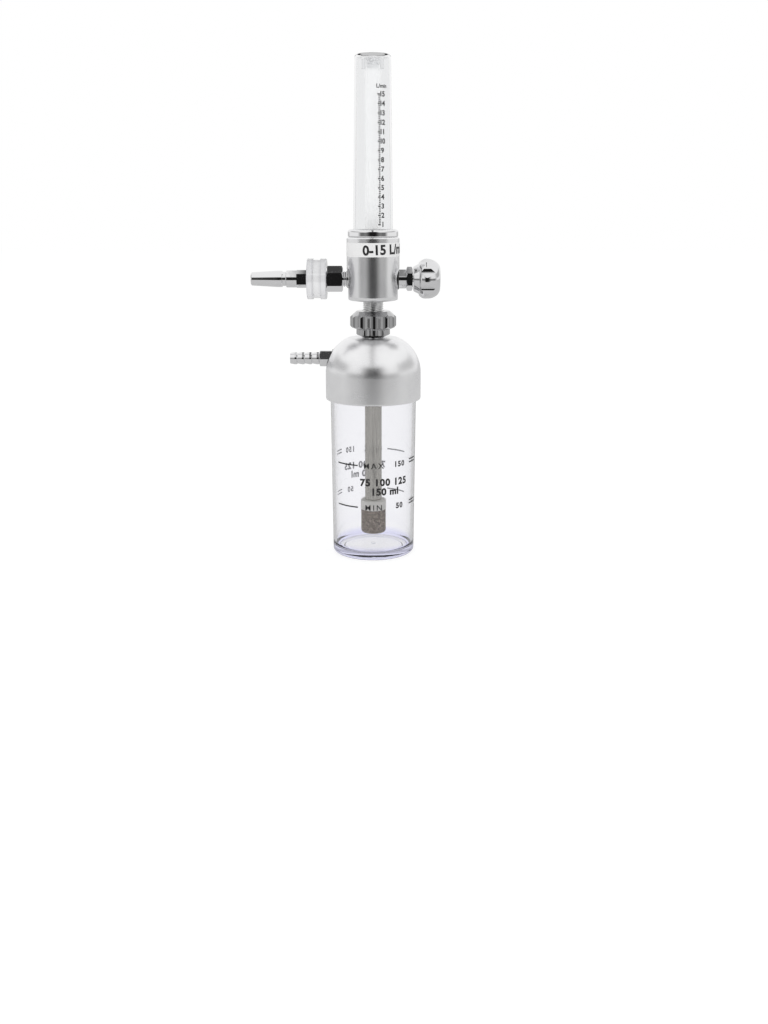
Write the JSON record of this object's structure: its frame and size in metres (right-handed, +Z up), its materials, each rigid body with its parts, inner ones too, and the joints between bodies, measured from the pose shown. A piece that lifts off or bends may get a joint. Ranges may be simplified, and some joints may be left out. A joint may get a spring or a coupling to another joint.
{
  "type": "oxygen flowmeter",
  "caption": "Oxygen flowmeter: outlet probe, metering tube with a float ball, needle valve with a lobed knob, and a dome-lidded humidifier bottle on a hand nut.",
  "frame": {"origin": "centre of the bottle's foot, on the floor that it stands on", "axes": "+Z up along the tubes, -X along the outlet probe, +X along the flow knob, -Y towards the viewer"},
  "size_m": [0.1298, 0.0662, 0.3418],
  "materials": {
    "satin_aluminium": "satin turned",
    "chrome_plate": "polished plating",
    "clear_tube": "clear polycarbonate",
    "clear_bottle": "clear polycarbonate with a violet tint",
    "white_plastic": "moulded",
    "label_white": "printed film",
    "black_rubber": "moulded",
    "grey_rubber": "moulded",
    "brass_bare": "turned",
    "sintered_bronze": "sintered",
    "steel_bright": "ground",
    "nickel_tube": "drawn tube",
    "cup_plastic": "translucent moulding",
    "porous_plastic": "sintered, open pores"
  },
  "bodies": {
    "flowmeter": {"flowmeter_body": "satin_aluminium", "gas_label": "label_white", "tube_collar": "chrome_plate", "cover_tube": "clear_tube", "cover_tube_seal": "black_rubber", "metering_tube": "clear_tube", "tube_seat": "brass_bare", "lower_tube_seal": "grey_rubber", "upper_tube_seal": "grey_rubber", "ball_stop": "white_plastic", "probe": "chrome_plate", "index_collar": "white_plastic", "inlet_adaptor": "chrome_plate", "inlet_washer": "steel_bright", "inlet_filter": "sintered_bronze", "valve_bonnet": "chrome_plate", "bonnet_seal": "black_rubber", "gland_nut": "chrome_plate", "stem_packing": "grey_rubber", "outlet_nipple": "chrome_plate"},
    "float": {"float_ball": "steel_bright"},
    "stem_slide": {"stem_oring": "black_rubber"},
    "knob": {"valve_stem": "brass_bare", "control_knob": "chrome_plate", "knob_screw": "steel_bright"},
    "humidifier": {"inlet_stem": "chrome_plate", "nose_seal": "black_rubber", "humidifier_lid": "satin_aluminium", "stem_washer": "grey_rubber", "stem_locknut": "chrome_plate", "dip_tube": "nickel_tube", "diffuser_cup": "cup_plastic", "diffuser_stone": "porous_plastic", "hose_barb": "chrome_plate", "barb_washer": "steel_bright"},
    "nut": {"hand_nut": "chrome_plate"},
    "gasket": {"bottle_gasket": "grey_rubber"},
    "bottle_turn": {"bottle": "clear_bottle"}
  },
  "joints": [
    {"name": "float_rise", "type": "slide", "parent": "flowmeter", "child": "float", "axis": [0, 0, 1], "range_m": [0, 0.1125]},
    {"name": "valve_travel", "type": "slide", "parent": "flowmeter", "child": "stem_slide", "axis": [1, 0, 0], "range_m": [0, 0.00169]},
    {"name": "knob_turn", "type": "hinge", "parent": "stem_slide", "child": "knob", "pos_m": [0.04, 0, 0.193], "axis": [1, 0, 0], "range_deg": [0, 810]},
    {"name": "humidifier_drop", "type": "slide", "parent": "flowmeter", "child": "humidifier", "axis": [0, 0, -1], "range_m": [0, 0.00705]},
    {"name": "nut_turn", "type": "hinge", "parent": "humidifier", "child": "nut", "pos_m": [0, 0, 0.163], "axis": [0, 0, -1], "range_deg": [0, 1800]},
    {"name": "bottle_drop", "type": "slide", "parent": "humidifier", "child": "gasket", "axis": [0, 0, -1], "range_m": [0, 0.00749]},
    {"name": "bottle_unscrew", "type": "hinge", "parent": "gasket", "child": "bottle_turn", "pos_m": [0, 0, 0.06], "axis": [0, 0, -1], "range_deg": [0, 900]}
  ],
  "couplings": [
    {"joint": "knob_turn", "follows": "valve_travel", "rad_per_m": 8377.6},
    {"joint": "nut_turn", "follows": "humidifier_drop", "rad_per_m": 4453},
    {"joint": "bottle_unscrew", "follows": "bottle_drop", "rad_per_m": 2094.4}
  ]
}
